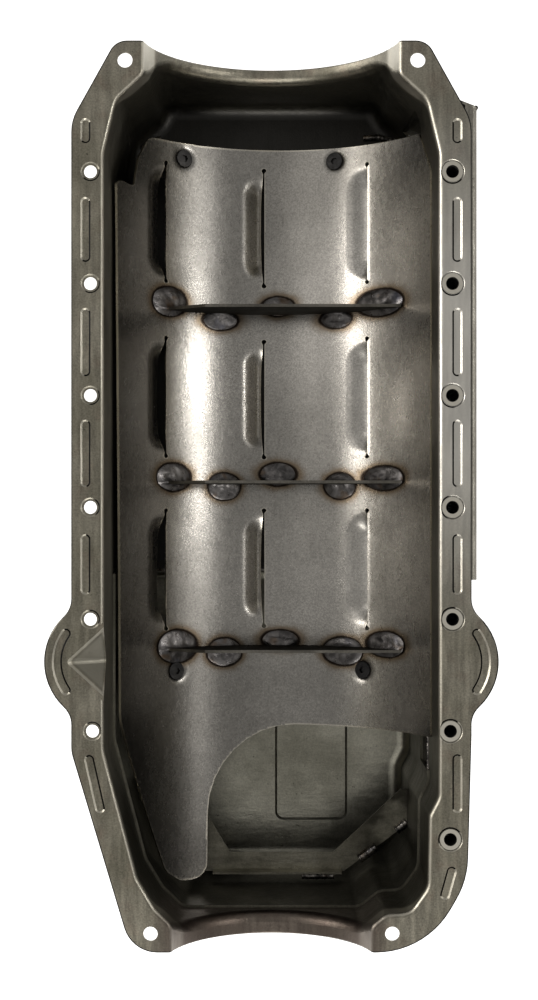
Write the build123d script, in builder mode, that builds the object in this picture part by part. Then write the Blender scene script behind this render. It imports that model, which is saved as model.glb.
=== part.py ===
"""Steel oil pan of a V8 racing engine, with a kicked-out side and a louvred windage tray.

The frame: the gasket face of the bolt rail is Z = 0, and +Z points up to the engine.
+Y points to the front of the engine and +X to its right-hand side, where the kickout is.
The origin is midway between the two rail bolts of the third row, and the crank turns
about the Y axis. Lengths are millimetres.
"""
import os
from math import asin, atan2, degrees, hypot, sqrt

from build123d import *

os.makedirs("parts", exist_ok=True)

# The windage tray is a trough round the crank axis, and the shallow end clears it
tray_r = 105.0           # inner radius
tray_floor_room = 13.0   # from the tray's inner face to the shallow floor

# Sheet and clearances
sheet = 1.5              # pan sheet
tray_sheet = 1.5         # windage tray sheet
plate_sheet = 1.8        # cross plates in the tray
wall_gap = 0.7           # tray edge to pan wall
fit_gap = 0.1            # screw and plug shanks in their bores
cut_over = 5.0           # how far a cutter runs past what it cuts

# Bolt rail
rail_half_width = 115.6
front_edge_y = 205.0
rear_edge_y = -321.7
bolt_half_span = 104.5
bolt_pitch = 64.6
bolt_rows = 5
bolt_hole_r = 3.75
rear_pair_y = -193.8
rear_half_span = 103.3
last_bolt_y = -256.3
front_corner_x, front_corner_y, front_corner_r = 84.5, 193.5, 4.35
rear_corner_x, rear_corner_y, rear_corner_r = 69.8, -310.7, 4.15
seat_r, seat_depth = 5.6, 0.4        # pressed seat round each left-hand hole
seat_slope = 0.8         # plan width of its sloping side

# Rail outline: (x, y, corner radius), clockwise from the left front corner
rail_corners = [
    (-89.9, front_edge_y, 11), (89.9, front_edge_y, 11),
    (rail_half_width, 158.9, 25), (rail_half_width, -196, 60),
    (113.3, -280, 50), (89, rear_edge_y, 50),
    (-80.7, rear_edge_y, 20), (-rail_half_width, -206, 20), (-rail_half_width, 158.9, 25),
]
bulge_r = 36.0
bulge_x = 95.3
bulge_y = -153.8
bulge_blend = 14.0

# Well inside the rail: the inner face of the wall, (x, y, corner radius)
wall_x = 96.8
front_wall_y = 196.5
rear_wall_y = -309.0
well_corners = [
    (-67, front_wall_y, 9), (67, front_wall_y, 9), (72, 187, 10), (89.5, 171, 14),
    (wall_x, 140, 20), (wall_x, -232, 10), (91.2, -243, 6), (90.5, -284, 12),
    (80, -298.6, 10), (66, -299.5, 8), (54, rear_wall_y, 9), (-54, rear_wall_y, 9),
    (-67, -296.5, 10), (-77.5, -279, 14), (-wall_x, -205, 20), (-wall_x, 140, 20),
    (-89.5, 171, 14), (-72, 187, 10),
]
rail_bend = 2.6          # round from the rail into the well
rail_edge_round = 0.8    # rolled-over outer edge of the stamping
saddle_bend = 6.0        # round from an end saddle into the well
front_depth = tray_r + tray_floor_room   # inside, below the rail
floor_bend = 8.0

# End saddles that seal on the front cover and the rear main cap: half chord, dip below the
# rail, and the y where the cut starts in the well, of the well's wall and of the edge
saddles = [(74.0, 61.0, 180.0, front_wall_y, front_edge_y),
           (58.0, 43.0, -300.0, rear_wall_y, rear_edge_y)]

# Stiffening beads pressed into the rail
bead_width = 5.8
bead_depth = 0.8
bead_wall_angle = 52.0   # of the bead's sloping sides, from upright
bead_x = 107.3
bead_spans = [(145.5, 160), (77, 114.5), (11, 50.5), (-53, -14), (-115, -80)]
# Beads of one side only, behind the bulges: (x, y) to (x, y)
left_tail_beads = [((-105.8, -207.5), (-98.3, -241.0))]
right_tail_beads = [((bead_x, -207), (bead_x, -241)), ((104.8, -272.0), (99.5, -291.0))]
bulge_bead_r = 28.5
bulge_bead_angle = 35.0

# Dipstick recess in the left bulge
recess_tip_x = -118.7
recess_end_x = -wall_x
recess_depth = 14.5
recess_half_width = 20.0
recess_bend = 3.0

# Sump
sump_front_y = -105.0
sump_depth = 185.0
shell_skirt = 62.0       # stamped wall ends here above the sump
sump_lap = 8.0           # the sump wall laps inside the stamped wall
dish_height = 10.0
dish_bend = 8.0
floor_panel = (2.8, 53.0, -281.0, -120.0)   # pressed panel in the floor: x0, x1, y0, y1
floor_panel_depth = 1.2

# Kickout along the right-hand side
kick_front_x = 119.0
kick_rear_x = 112.5
kick_front_y = 167.0
kick_rear_y = -268.0
kick_wall_depth = 64.0
kick_floor_depth = 98.0
kick_lip_x = 112.0
kick_bend = 3.0
kick_cap_inner = (80.0, 182.0)
window_rear_y = -225.0
window_peak_y, window_peak_z = 174.0, -38.0
window_step_y, window_top_z = 155.0, -60.0
window_foot_y = 176.0
tube_r = 6.0
tube_end_drop = 6.0      # tube end below the kickout floor at its axis
tube_groove_r = 7.2
tube_groove_depth = 0.7
tube_groove_slope = 0.9  # plan width of the groove's outer side

# Windage tray
tray_left_x, tray_right_x = -93.6, 96.2
tray_front_y = 167.0
tray_rear_y = -203.6
pump_gap_r = 56.0        # round corner of the cut-out for the pump
tongue_right_x = -40.0
tongue_tip_y = -300.7
louvre_rows = [115.5, 5.3, -103.3]
louvre_angles = [-39.0, -2.5, 35.2]
louvre_length = 74.0
louvre_width = 14.5
louvre_depth = 6.5
louvre_lip_back = 1.2    # the pressed lip ends this far short of the slit's edge
relief_r = 1.35

# Cross plates in the tray
plate_top_z = -65.0
plate_rows = [("front", 60.7), ("middle", -48.5), ("rear", -153.5)]
plate_left_x, plate_chamfer_x, plate_right_x = -65.5, -41.0, 80.3

# Screws, posts and brackets that hold the tray: (name, x, y)
screw_places = [("front_left", -54.8, 157.2), ("front_right", 40.2, 157.2),
                ("rear_left", -59.6, -167.6), ("rear_right", 57.7, -167.1)]
screw_head_r = 5.3
screw_head_height = 2.8
screw_r = 3.0
screw_length = 16.0
socket_flats = 4.0
socket_depth = 1.8
dimple_r = 7.2
dimple_floor = 1.5       # metal under the cone of the dimple
dimple_lip = 0.6         # dimple mouth wider than the head
post_r = 6.5
bracket_sheet = 2.0
bracket_top_z = -tray_r - 3.5
bracket_leg = 22.0
bracket_width = 26.0
bracket_reach = 33.0

# Shelf baffle round the back of the sump
shelf_z = -125.0
shelf_lip = 10.0
shelf_rear_y = -302.8
# Its outline in plan, run past the sump wall where it is welded to it
shelf_outline = [
    (-1.1 * wall_x, -236.6), (-60, -236.6), (-27, -290.4), (41, -290.4), (85.4, -248.7),
    (1.1 * wall_x, -248.7), (1.1 * wall_x, -259.0), (47.9, shelf_rear_y),
    (-1.1 * wall_x, shelf_rear_y),
]
shelf_lip_x = (-38.0, 46.0)

# Drain in the rear wall
drain_x = -30.0
drain_z = -(sump_depth - 25.0)
bung_r, bung_length = 12.0, 8.5
spigot_r, spigot_proud = 10.0, 2.0
plug_r, plug_length = 6.3, 13.0
plug_flats, plug_head = 19.0, 8.0
washer_r, washer_sheet = 11.0, 1.5


def rounded_face(corners):
    """Filled outline through (x, y, radius) corners."""
    with BuildSketch(Plane.XY) as filled:
        with BuildLine():
            FilletPolyline(*[(x, y) for x, y, _ in corners], radius=[r for _, _, r in corners],
                           close=True)
        make_face()
    return filled.sketch_local


def arch_radius(half_chord, dip):
    """Radius of the arc that dips below a chord of this half length."""
    return (half_chord**2 + dip**2) / (2 * dip)


def save(piece, name):
    """Name a finished piece and write its file."""
    piece.part.label = name
    export_step(piece.part, f"parts/{name}.step")


# Plan outlines that several pieces share
with BuildSketch() as well_plan:
    add(rounded_face(well_corners))

with BuildSketch() as wall_plan:
    add(well_plan.sketch)
    offset(amount=sheet)

with BuildSketch() as sump_plan:
    add(well_plan.sketch)
    with Locations((0, sump_front_y)):
        Rectangle(4 * wall_x, 4 * wall_x, align=(Align.CENTER, Align.MIN), mode=Mode.SUBTRACT)


def prism(plan, bottom_z, top_z):
    """Upright solid over a plan outline."""
    with BuildPart() as solid:
        with BuildSketch(Plane.XY.offset(bottom_z)):
            add(plan.sketch)
        extrude(amount=top_z - bottom_z)
    return solid


def inside_of(plan, inset):
    """Plan outline moved inwards by a wall."""
    with BuildSketch() as inner:
        add(plan.sketch)
        offset(amount=-inset)
    return inner


# Stamped shell: rail, well, saddles, beads and dipstick recess

def saddle(half_chord, dip, inner_y, edge_y):
    """Cutter above one end saddle, from the edge in to inner_y, and the saddle's curved sheet."""
    radius = arch_radius(half_chord, dip)
    outwards = 1 if edge_y > inner_y else -1
    inner_plane = Plane(origin=(0, inner_y, radius - dip), x_dir=(1, 0, 0), z_dir=(0, outwards, 0))
    with BuildPart() as cutter:
        with BuildSketch(inner_plane):
            Circle(radius)
        extrude(amount=abs(edge_y - inner_y) + cut_over)
    with BuildPart() as band:
        with BuildSketch(inner_plane):
            Circle(radius + sheet)
            Circle(radius, mode=Mode.SUBTRACT)
        extrude(amount=abs(edge_y - inner_y))
        split(bisect_by=Plane.XY, keep=Keep.BOTTOM)
        add(well_cutter.part, mode=Mode.SUBTRACT)
    return cutter, band


def on_saddle_arc(edge, radius, centre_z, inner_y, wall_y):
    """Whether an edge below the rail runs along an arc, from inside the well to its wall."""
    middle = edge.position_at(0.5)
    low_y, high_y = sorted((inner_y, wall_y))
    on_arc = abs(hypot(middle.X, middle.Z - centre_z) - radius) < 0.01
    return on_arc and middle.Z < -sheet - 0.01 and low_y - 0.01 < middle.Y < high_y + 0.01


def bead_slot(start, end, top_z):
    """Straight pressed bead on the rail, from point to point, narrowing downwards."""
    run = Vector(*end) - Vector(*start)
    with BuildPart() as slot:
        with BuildSketch(Plane.XY.offset(top_z)):
            with Locations((Vector(*start) + Vector(*end)) / 2):
                SlotCenterToCenter(run.length - bead_width, bead_width,
                                   rotation=degrees(atan2(run.Y, run.X)))
        extrude(amount=-bead_depth, taper=bead_wall_angle)
    return slot


def bulge_bead(side, top_z):
    """Curved pressed bead along a bulge's edge."""
    middle = 180 if side < 0 else 0
    path = Edge.make_circle(bulge_bead_r, Plane((side * bulge_x, bulge_y, 0)),
                            middle - bulge_bead_angle, middle + bulge_bead_angle)
    with BuildPart() as slot:
        with BuildSketch(Plane.XY.offset(top_z)):
            SlotArc(path, bead_width)
        extrude(amount=-bead_depth, taper=bead_wall_angle)
    return slot


def recess_wedge(drop):
    """Vee channel that slopes from the bulge down into the well."""
    slope = Vector(recess_end_x - recess_tip_x, 0, -recess_depth)
    rise = 3 * recess_depth
    spread = rise * recess_half_width / recess_depth
    start = Vector(recess_tip_x, bulge_y, -drop) - slope
    with BuildPart() as wedge:
        with BuildSketch(Plane(origin=start, x_dir=(0, 1, 0), z_dir=(1, 0, 0))):
            with BuildLine():
                FilletPolyline((0, 0), (spread, rise), (-spread, rise),
                               radius=[recess_bend, 0, 0], close=True)
            make_face()
        extrude(amount=3 * slope.length, dir=slope)
    return wedge


# Centre of the arcs that blend a bulge into the rail's side
blend_x = rail_half_width + bulge_blend
blend_rise = sqrt((bulge_r + bulge_blend)**2 - (blend_x - bulge_x)**2)

with BuildPart() as well_cutter:
    add(prism(well_plan, -front_depth, cut_over).part)
    fillet(well_cutter.edges().group_by(Axis.Z)[0], floor_bend)

with BuildSketch() as rail_plan:
    add(rounded_face(rail_corners))
    for side in (-1, 1):
        with Locations((side * bulge_x, bulge_y)):
            Circle(bulge_r)
        top_y, foot_y = bulge_y + blend_rise, bulge_y - blend_rise
        with BuildLine():
            Polyline((side * bulge_x, bulge_y), (side * blend_x, top_y), (side * wall_x / 2, top_y),
                     (side * wall_x / 2, foot_y), (side * blend_x, foot_y), close=True)
        make_face()
        with Locations((side * blend_x, top_y), (side * blend_x, foot_y)):
            Circle(bulge_blend, mode=Mode.SUBTRACT)
rail_rim = rail_plan.sketch.face().outer_wire()


def rail_edges(shell, at_rim):
    """Edges on the gasket face, round its outer rim or round the mouth of the well."""
    flat = shell.edges().filter_by_position(Axis.Z, -0.01, 0.01)
    return [edge for edge in flat if (rail_rim.distance_to(edge.position_at(0.5)) < 0.01) == at_rim]


with BuildPart() as pan_shell:
    add(prism(rail_plan, -sheet, 0).part)
    with BuildPart(mode=Mode.PRIVATE) as well_outside:
        add(prism(wall_plan, -front_depth - sheet, -sheet / 2).part)
        fillet(well_outside.edges().group_by(Axis.Z)[0], floor_bend + sheet)
    add(well_outside.part)
    add(well_cutter.part, mode=Mode.SUBTRACT)

    # End saddles, rounded into the well: first the sheet's underside, then its upper face
    for half_chord, dip, inner_y, wall_y, edge_y in saddles:
        cutter, band = saddle(half_chord, dip, inner_y, edge_y)
        add(cutter.part, mode=Mode.SUBTRACT)
        add(band.part)
    for grow in (sheet, 0):
        for half_chord, dip, inner_y, wall_y, edge_y in saddles:
            radius = arch_radius(half_chord, dip)
            face_y = wall_y + grow if wall_y > 0 else wall_y - grow
            fillet([edge for edge in pan_shell.edges()
                    if on_saddle_arc(edge, radius + grow, radius - dip, inner_y, face_y)],
                   saddle_bend - grow)
    fillet(rail_edges(pan_shell, at_rim=False), rail_bend)
    fillet(rail_edges(pan_shell, at_rim=True), rail_edge_round)

    # Dipstick recess: its sheet, then its hollow
    with BuildPart(mode=Mode.PRIVATE) as recess_sheet:
        add(recess_wedge(1.3 * sheet).part)
        with Locations(((recess_end_x + recess_tip_x - cut_over) / 2, bulge_y, 0)):
            Box(abs(recess_tip_x - cut_over - recess_end_x), 4 * recess_half_width, 4 * recess_depth,
                align=(Align.CENTER, Align.CENTER, Align.MAX), mode=Mode.INTERSECT)
    add(recess_sheet.part)
    add(recess_wedge(0).part, mode=Mode.SUBTRACT)

    # The stamping is cut away below its skirt where the sump is welded on
    with Locations((0, sump_front_y, -shell_skirt)):
        Box(4 * wall_x, 4 * wall_x, 4 * wall_x, align=(Align.CENTER, Align.MAX, Align.MAX),
            mode=Mode.SUBTRACT)

    # Window into the kickout
    with BuildSketch(Plane.YZ.offset(kick_cap_inner[0])):
        with BuildLine():
            Polyline((sump_front_y - cut_over, -kick_floor_depth), (window_foot_y, -kick_floor_depth),
                     (window_peak_y, window_peak_z), (window_step_y, window_top_z),
                     (sump_front_y - cut_over, window_top_z), close=True)
        make_face()
    extrude(amount=2 * (wall_x - kick_cap_inner[0]), mode=Mode.SUBTRACT)

    # Beads: sheet pressed below the rail, hollow above
    straight_beads = [((side * bead_x, y0), (side * bead_x, y1))
                      for side in (-1, 1) for y0, y1 in bead_spans]
    straight_beads += left_tail_beads + right_tail_beads
    for top_z, mode in [(-sheet, Mode.ADD), (0, Mode.SUBTRACT)]:
        for start, end in straight_beads:
            add(bead_slot(start, end, top_z).part, mode=mode)
        for side in (-1, 1):
            add(bulge_bead(side, top_z).part, mode=mode)

    # Bolt holes: pressed seats on the left, tube sockets on the right
    row_y = [(bolt_rows - 1) / 2 * bolt_pitch - row * bolt_pitch for row in range(bolt_rows)]
    left_bolts = [(-bolt_half_span, y) for y in row_y] + [(-rear_half_span, rear_pair_y)]
    right_bolts = [(bolt_half_span, y) for y in row_y] + [(rear_half_span, rear_pair_y),
                                                          (rear_half_span, last_bolt_y)]
    with Locations(*left_bolts):
        Cone(seat_r - seat_slope, seat_r, seat_depth, align=(Align.CENTER, Align.CENTER, Align.MAX),
             mode=Mode.SUBTRACT)
    with Locations(*right_bolts):
        Cone(tube_groove_r - tube_groove_slope, tube_groove_r, tube_groove_depth,
             align=(Align.CENTER, Align.CENTER, Align.MAX), mode=Mode.SUBTRACT)
    with BuildSketch():
        with Locations(*left_bolts):
            Circle(bolt_hole_r)
        with Locations(*right_bolts):
            Circle(tube_r)
        with Locations((-front_corner_x, front_corner_y), (front_corner_x, front_corner_y)):
            Circle(front_corner_r)
        with Locations((-rear_corner_x, rear_corner_y), (rear_corner_x, rear_corner_y)):
            Circle(rear_corner_r)
    extrude(amount=-sheet - bead_depth, mode=Mode.SUBTRACT)

save(pan_shell, "pan_shell")

# Sump: wrapped wall and pressed bottom dish

dish_top_z = -sump_depth + dish_height
with BuildPart() as sump_wrap:
    add(prism(sump_plan, dish_top_z, sump_lap - shell_skirt).part)
    add(prism(inside_of(sump_plan, sheet), dish_top_z - 1, sump_lap).part, mode=Mode.SUBTRACT)
    # The front wall stops level with the shallow floor
    with Locations((0, sump_front_y, -front_depth)):
        Box(2 * (wall_x - sheet), 2 * sheet, front_depth,
            align=(Align.CENTER, Align.CENTER, Align.MIN), mode=Mode.SUBTRACT)
    # Open to the kickout on the right
    with Locations((wall_x, sump_front_y, -kick_floor_depth)):
        Box(4 * sheet, 2 * (sump_front_y - window_rear_y), front_depth,
            align=(Align.CENTER, Align.CENTER, Align.MIN), mode=Mode.SUBTRACT)
    with Locations(Plane(origin=(drain_x, rear_wall_y, drain_z), z_dir=(0, -1, 0))):
        Cylinder(spigot_r, 4 * sheet, mode=Mode.SUBTRACT)
save(sump_wrap, "sump_wrap")

with BuildPart() as sump_floor:
    add(prism(sump_plan, -sump_depth - sheet, dish_top_z).part)
    fillet(sump_floor.edges().group_by(Axis.Z)[0], dish_bend + sheet)
    with BuildPart(mode=Mode.PRIVATE) as dish_hollow:
        add(prism(inside_of(sump_plan, sheet), -sump_depth, dish_top_z + 1).part)
        fillet(dish_hollow.edges().group_by(Axis.Z)[0], dish_bend)
    add(dish_hollow.part, mode=Mode.SUBTRACT)
    panel_x0, panel_x1, panel_y0, panel_y1 = floor_panel
    for z, mode, grow in [(-sump_depth - sheet, Mode.ADD, sheet), (-sump_depth, Mode.SUBTRACT, 0)]:
        with BuildSketch(Plane.XY.offset(z)):
            with Locations(((panel_x0 + panel_x1) / 2, (panel_y0 + panel_y1) / 2)):
                RectangleRounded(panel_x1 - panel_x0 + 2 * grow, panel_y1 - panel_y0 + 2 * grow, 6)
        extrude(amount=-floor_panel_depth, taper=bead_wall_angle, mode=mode)
save(sump_floor, "sump_floor")

# Kickout

rail_under_z = -sheet
kick_inner_x = kick_cap_inner[0]
shell_block = prism(wall_plan, -front_depth - sheet, 0)
well_block = prism(well_plan, -sump_depth, 0)


def kickout_section(outer_x):
    """Closed section under the rail: outer wall, sloping floor, and the inner side at the shell."""
    top_bend = kick_bend if outer_x > rail_half_width else 0
    return [(kick_inner_x, rail_under_z, 0), (outer_x, rail_under_z, top_bend),
            (outer_x, -kick_wall_depth, 2 * kick_bend), (wall_x, -kick_floor_depth, 0),
            (kick_inner_x, -kick_floor_depth, 0)]


def kickout_panel(outer_x, front_y, rear_y, lip_x):
    """Bent sheet: lip under the rail, outer wall and sloping floor."""
    with BuildPart() as panel:
        with BuildSketch(Plane.XZ.offset(-front_y)):
            add(rounded_face(kickout_section(outer_x)))
            offset(amount=-sheet, mode=Mode.SUBTRACT)
            with Locations((lip_x, rail_under_z)):
                Rectangle(lip_x, 2 * sheet, align=(Align.MAX, Align.CENTER), mode=Mode.SUBTRACT)
            with Locations((kick_inner_x + 2 * sheet, 0)):
                Rectangle(wall_x, 4 * kick_floor_depth, align=(Align.MAX, Align.CENTER),
                          mode=Mode.SUBTRACT)
        extrude(amount=front_y - rear_y)
    return panel


def kickout_plate(outer_x, plane):
    """Flat end plate with the whole outer section of the kickout."""
    with BuildPart() as end_plate:
        with BuildSketch(plane):
            add(rounded_face(kickout_section(outer_x)))
        extrude(amount=sheet)
    return end_plate


# The front cap runs aslant from the outer corner to the shell; its plane faces backwards
cap_run = Vector(kick_front_x - kick_cap_inner[0], kick_front_y - kick_cap_inner[1], 0)
cap_plane = Plane(origin=(kick_front_x, kick_front_y, 0), x_dir=cap_run,
                  z_dir=cap_run.cross(Vector(0, 0, 1)))
cap_stretch = cap_run.length / cap_run.X

with BuildPart() as kickout_panel_front:
    add(kickout_panel(kick_front_x, kick_cap_inner[1], sump_front_y, kick_lip_x).part)
    split(bisect_by=cap_plane.offset(sheet), keep=Keep.TOP)
    add(shell_block.part, mode=Mode.SUBTRACT)

with BuildPart() as kickout_cap_front:
    with BuildSketch(cap_plane):
        with BuildLine():
            section = [((x - kick_front_x) * cap_stretch, z, r)
                       for x, z, r in kickout_section(kick_front_x)]
            FilletPolyline(*[(x, z) for x, z, _ in section], radius=[r for _, _, r in section],
                           close=True)
        make_face()
    extrude(amount=sheet)
    add(shell_block.part, mode=Mode.SUBTRACT)

with BuildPart() as kickout_panel_rear:
    add(kickout_panel(kick_rear_x, sump_front_y - sheet, kick_rear_y + sheet,
                      kick_rear_x - sheet).part)
    add(well_block.part, mode=Mode.SUBTRACT)

with BuildPart() as kickout_step:
    add(kickout_plate(kick_front_x, Plane.XZ.offset(-sump_front_y)).part)
    with BuildPart(mode=Mode.PRIVATE) as step_hollow:
        with BuildSketch(Plane.XZ.offset(-sump_front_y - cut_over)):
            add(rounded_face(kickout_section(kick_rear_x)))
            offset(amount=-sheet)
            with Locations((kick_lip_x, rail_under_z)):
                Rectangle(kick_lip_x, 4 * sheet, align=(Align.MAX, Align.CENTER))
        extrude(amount=2 * cut_over + sheet)
    add(step_hollow.part, mode=Mode.SUBTRACT)
    add(well_block.part, mode=Mode.SUBTRACT)
    add(pan_shell.part, mode=Mode.SUBTRACT)

with BuildPart() as kickout_cap_rear:
    add(kickout_plate(kick_rear_x, Plane.XZ.offset(-kick_rear_y - sheet)).part)
    add(well_block.part, mode=Mode.SUBTRACT)
    add(prism(wall_plan, -shell_skirt, 0).part, mode=Mode.SUBTRACT)


def kick_floor_z(outer_x, x):
    """Height of the outer face of the sloping floor at x."""
    slope = (kick_floor_depth - kick_wall_depth) / (outer_x - wall_x)
    return -kick_wall_depth - slope * (outer_x - x)


for number, (x, y) in enumerate(right_bolts, start=1):
    outer_x = kick_front_x if y > sump_front_y else kick_rear_x
    tube_length = -kick_floor_z(outer_x, x) + tube_end_drop
    with BuildPart() as bolt_tube:
        with Locations((x, y, 0)):
            Cylinder(tube_r, tube_length, align=(Align.CENTER, Align.CENTER, Align.MAX))
            Cylinder(bolt_hole_r, tube_length, align=(Align.CENTER, Align.CENTER, Align.MAX),
                     mode=Mode.SUBTRACT)
        add(pan_shell.part, mode=Mode.SUBTRACT)
    for panel in (kickout_panel_front, kickout_panel_rear):
        with BuildPart(mode=Mode.PRIVATE) as tube_room:
            with Locations((x, y, 0)):
                Cylinder(tube_r, 2 * front_depth)
        panel.part = panel.part - tube_room.part
    save(bolt_tube, f"bolt_tube_{number}")

save(kickout_panel_front, "kickout_panel_front")
save(kickout_cap_front, "kickout_cap_front")
save(kickout_panel_rear, "kickout_panel_rear")
save(kickout_step, "kickout_step")
save(kickout_cap_rear, "kickout_cap_rear")

# Windage tray

tray_corners = [
    (-76, tray_front_y, 6), (tray_right_x, tray_front_y - 3, 2), (tray_right_x, tray_rear_y, 2),
    (tongue_right_x, tray_rear_y, pump_gap_r), (tongue_right_x - 1, tongue_tip_y, 10),
    (-57, tongue_tip_y, 7), (-66.5, -293, 10), (-91.6, -195, 30), (tray_left_x, 136, 3),
    (-84.5, 133.6, 2), (-82, 152, 12),
]
capsule_r = (louvre_width**2 + louvre_depth**2) / (2 * louvre_depth)
capsule_axis_r = tray_r + louvre_depth - capsule_r


def louvre_pocket(grow, lip_back):
    """Half of a round-ended capsule that bulges outwards from the tray, left of the slit."""
    radius = capsule_r + grow
    with BuildPart() as pocket:
        with Locations((0, 0, -capsule_axis_r)):
            straight = louvre_length - 2 * louvre_width
            Cylinder(radius, straight, rotation=(90, 0, 0))
        with Locations((0, straight / 2, -capsule_axis_r), (0, -straight / 2, -capsule_axis_r)):
            Sphere(radius)
        with Locations((-lip_back, 0, -capsule_axis_r)):
            Box(radius, 2 * louvre_length, radius, align=(Align.MAX, Align.CENTER, Align.MAX),
                mode=Mode.INTERSECT)
    return pocket


def around_crank(angle, y):
    """Place on the tray at an angle about the crank axis, from straight down."""
    return Location((0, y, 0), (0, -angle, 0))


def screw_place(x, y):
    """Place of a screw: its own Z axis points from the tray to the crank axis."""
    return around_crank(degrees(asin(x / tray_r)), y)


louvre_places = [around_crank(angle, y) for y in louvre_rows for angle in louvre_angles]
louvre_skin = louvre_pocket(tray_sheet, louvre_lip_back)
louvre_hollow = louvre_pocket(0, 0)
dimple_depth = screw_head_height + dimple_floor

with BuildPart() as tray_space:
    with BuildSketch(Plane.XY.offset(-tray_r - 2 * louvre_depth)):
        add(rounded_face(tray_corners))
    extrude(amount=tray_r + 2 * louvre_depth - 20)
    with BuildPart(mode=Mode.PRIVATE) as wall_room:
        add(prism(inside_of(well_plan, wall_gap), -2 * tray_r, 0).part)
    add(wall_room.part, mode=Mode.INTERSECT)

with BuildPart() as windage_tray:
    with BuildSketch(Plane.XZ):
        Circle(tray_r + tray_sheet)
    extrude(amount=2 * front_edge_y, both=True)
    add(tray_space.part, mode=Mode.INTERSECT)
    for place in louvre_places:
        add(louvre_skin.part.moved(place))
    with Locations(*[screw_place(x, y) for _, x, y in screw_places]):
        with Locations((0, 0, -tray_r)):
            Cylinder(dimple_r, dimple_depth, align=(Align.CENTER, Align.CENTER, Align.MAX))
    with BuildPart(mode=Mode.PRIVATE) as crank_room:
        with BuildSketch(Plane.XZ):
            Circle(tray_r)
        extrude(amount=2 * front_edge_y, both=True)
    add(crank_room.part, mode=Mode.SUBTRACT)
    for place in louvre_places:
        add(louvre_hollow.part.moved(place), mode=Mode.SUBTRACT)
    with Locations(*louvre_places):
        with Locations((0, louvre_length / 2, -tray_r), (0, -louvre_length / 2, -tray_r)):
            Cylinder(relief_r, 4 * tray_sheet, mode=Mode.SUBTRACT)
    with Locations(*[screw_place(x, y) for _, x, y in screw_places]):
        with Locations((0, 0, -tray_r - screw_head_height)):
            Cone(screw_r + fit_gap, screw_head_r + dimple_lip, screw_head_height,
                 align=(Align.CENTER, Align.CENTER, Align.MIN), mode=Mode.SUBTRACT)
            Cylinder(screw_r + fit_gap, 4 * dimple_floor, mode=Mode.SUBTRACT)
        with Locations((0, 0, -tray_r)):
            Cylinder(screw_head_r + dimple_lip, dimple_lip,
                     align=(Align.CENTER, Align.CENTER, Align.MIN), mode=Mode.SUBTRACT)
save(windage_tray, "windage_tray")

# Cross plates, standing in the tray on their welded lower edge

for name, y in plate_rows:
    with BuildPart() as plate:
        with BuildSketch(Plane.XZ.offset(-y - plate_sheet / 2)):
            Circle(tray_r)
            with BuildLine():
                chamfer_foot_z = -sqrt(tray_r**2 - plate_left_x**2)
                Polyline((plate_left_x, -tray_r), (plate_left_x, chamfer_foot_z + 2),
                         (plate_chamfer_x, plate_top_z), (plate_right_x, plate_top_z),
                         (plate_right_x, -tray_r), close=True)
            make_face(mode=Mode.INTERSECT)
        extrude(amount=plate_sheet)
    save(plate, f"tray_plate_{name}")

# Screws, posts and brackets under the tray

post_start_r = tray_r + dimple_depth
for name, x, y in screw_places:
    place = screw_place(x, y)
    with BuildPart() as screw:
        with Locations((0, 0, -tray_r - screw_head_height)):
            Cone(screw_r, screw_head_r, screw_head_height,
                 align=(Align.CENTER, Align.CENTER, Align.MIN))
            Cylinder(screw_r, screw_length - screw_head_height,
                     align=(Align.CENTER, Align.CENTER, Align.MAX))
        with BuildSketch(Plane.XY.offset(-tray_r)):
            RegularPolygon(socket_flats / 2, 6, major_radius=False)
        extrude(amount=-socket_depth, mode=Mode.SUBTRACT)
    screw.part = screw.part.moved(place)
    save(screw, f"tray_screw_{name}")

    foot_z = -front_depth if y > sump_front_y else bracket_top_z
    with BuildPart() as post:
        with Locations(place):
            with Locations((0, 0, -post_start_r)):
                Cylinder(post_r, front_depth, align=(Align.CENTER, Align.CENTER, Align.MAX))
                Cylinder(screw_r + fit_gap, screw_length, align=(Align.CENTER, Align.CENTER, Align.MAX),
                         mode=Mode.SUBTRACT)
        split(bisect_by=Plane.XY.offset(foot_z), keep=Keep.TOP)
    save(post, f"tray_post_{name}")

for name, side, y in [("left", -1, screw_places[2][2]), ("right", 1, screw_places[3][2])]:
    with BuildPart() as bracket:
        with Locations((side * (wall_x - sheet), y, bracket_top_z)):
            flush = Align.MIN if side < 0 else Align.MAX
            Box(bracket_reach, bracket_width, bracket_sheet, align=(flush, Align.CENTER, Align.MAX))
            Box(bracket_sheet, bracket_width, bracket_leg, align=(flush, Align.CENTER, Align.MAX))
        fillet(bracket.edges().filter_by(Axis.Y).sort_by_distance(
            (side * (wall_x - sheet), y, bracket_top_z))[0], bracket_sheet)
    save(bracket, f"post_bracket_{name}")

# Shelf baffle

with BuildPart() as sump_shelf:
    with BuildSketch(Plane.XY.offset(shelf_z - sheet)):
        with BuildLine():
            Polyline(*shelf_outline, close=True)
        make_face()
    extrude(amount=sheet)
    with Locations(((shelf_lip_x[0] + shelf_lip_x[1]) / 2, shelf_rear_y, shelf_z - sheet)):
        Box(shelf_lip_x[1] - shelf_lip_x[0], sheet, shelf_lip + sheet,
            align=(Align.CENTER, Align.MIN, Align.MIN))
    add(prism(inside_of(sump_plan, sheet), -sump_depth, 0).part, mode=Mode.INTERSECT)
save(sump_shelf, "sump_shelf")

# Drain bung, washer and plug, on an axis along Y

outer_face_y = rear_wall_y - spigot_proud


def along_drain(y):
    """Plane across the drain axis, facing backwards, out of the sump."""
    return Plane(origin=(drain_x, y, drain_z), x_dir=(1, 0, 0), z_dir=(0, -1, 0))


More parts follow.
